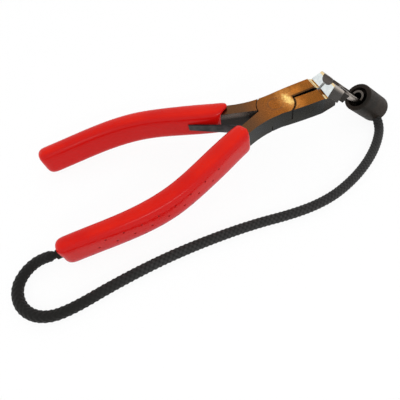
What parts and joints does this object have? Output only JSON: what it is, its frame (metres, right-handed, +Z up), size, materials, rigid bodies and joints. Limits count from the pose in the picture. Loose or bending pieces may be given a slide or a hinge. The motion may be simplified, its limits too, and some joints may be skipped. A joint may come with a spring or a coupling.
{
  "type": "insertion and extraction pliers",
  "caption": "Angled-nose insertion and extraction pliers with dipped grips, a lap joint, a leaf spring, a grooved nose with a guide tube, and a pull-off cap on a lanyard cord.",
  "frame": {"origin": "on the table, under the middle of the whole tool as it lies on its two grip ends and its cap", "axes": "+Z up from the table, +X along the pliers towards the nose, +Y towards the upper handle"},
  "size_m": [0.217, 0.0897, 0.0392],
  "materials": {
    "tool_steel": "heat-tinted and ground",
    "pin_steel": "turned and ground flush",
    "red_vinyl": "soft satin",
    "spring_steel": "blackened",
    "tube_steel": "drawn",
    "black_rubber": "satin",
    "brass": "satin",
    "black_cord": "braided"
  },
  "bodies": {
    "lower_handle": {"outer_member": "tool_steel", "pivot_pin": "pin_steel", "lower_grip": "red_vinyl", "leaf_spring": "spring_steel", "spring_rivet": "pin_steel", "guide_tube": "tube_steel", "cord_anchor": "brass", "cord_loop": "black_cord"},
    "upper_handle": {"inner_member": "tool_steel", "upper_grip": "red_vinyl"},
    "cap": {"tip_cap": "black_rubber", "cord_plug": "brass", "cord_main": "black_cord"}
  },
  "joints": [
    {"name": "pliers_hinge", "type": "hinge", "parent": "lower_handle", "child": "upper_handle", "pos_m": [0.0226, 0, 0.0214], "axis": [0.1599, 0, -0.9871], "range_deg": [-3.5, 14], "stiffness_Nm_per_rad": 4, "deforming": ["leaf_spring"]},
    {"name": "cap_slide", "type": "slide", "parent": "lower_handle", "child": "cap", "axis": [0.7954, -0.0084, -0.606], "range_m": [0, 0.012]}
  ]
}
